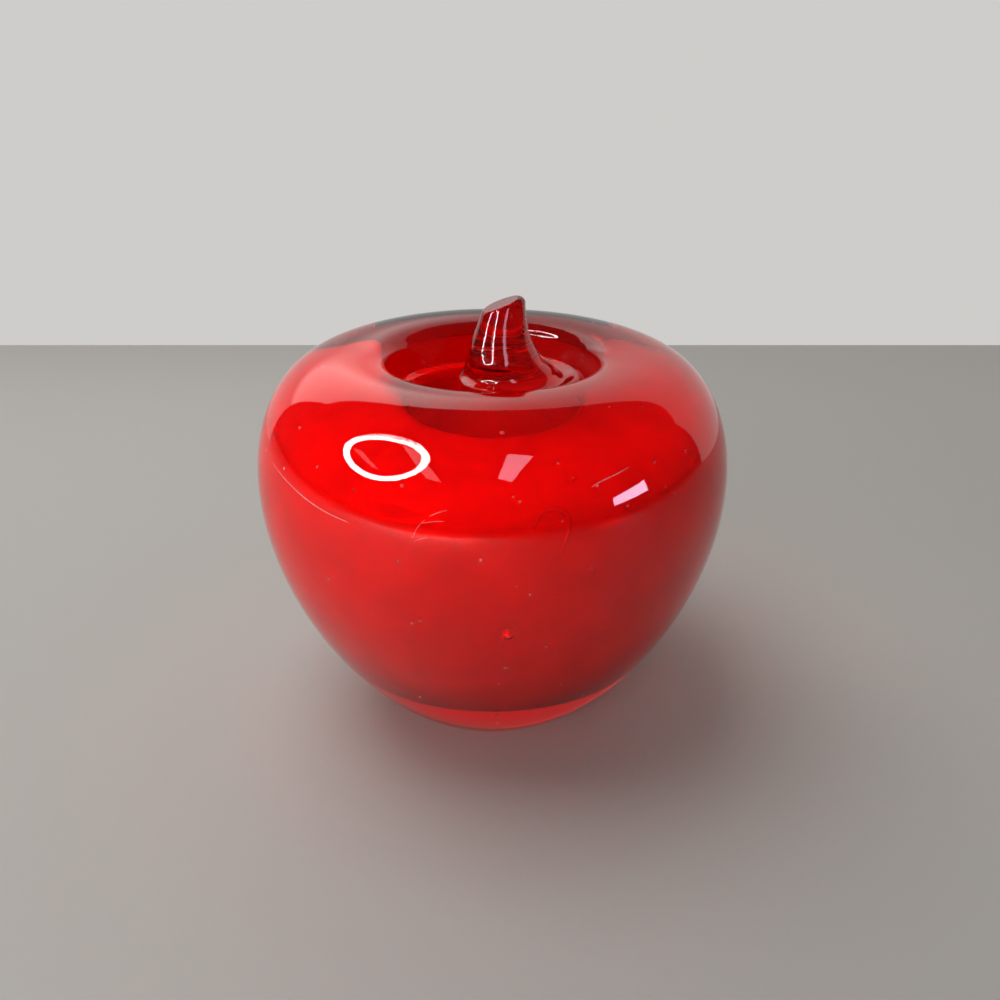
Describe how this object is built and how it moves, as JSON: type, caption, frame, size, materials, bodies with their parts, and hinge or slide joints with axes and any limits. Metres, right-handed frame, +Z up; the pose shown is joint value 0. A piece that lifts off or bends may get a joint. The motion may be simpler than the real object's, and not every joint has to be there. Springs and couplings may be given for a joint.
{
  "type": "art glass apple",
  "caption": "Solid ruby glass apple paperweight with a dimpled top, a leaning stem of the same glass and a flat ground base.",
  "frame": {"origin": "centre of the flat base, on the surface that the apple stands on", "axes": "+Z up the apple's axis, +X to the viewer's right, towards which the stem's foot is pooled, and +Y away from the viewer"},
  "size_m": [0.085, 0.085, 0.0764],
  "materials": {
    "ruby_glass": "transparent ruby glass, fire polished",
    "core_glass": "dense red glass, fused inside the casing"
  },
  "bodies": {
    "root": {"ruby_casing": "ruby_glass", "inner_core": "core_glass", "stem": "ruby_glass"}
  },
  "joints": []
}
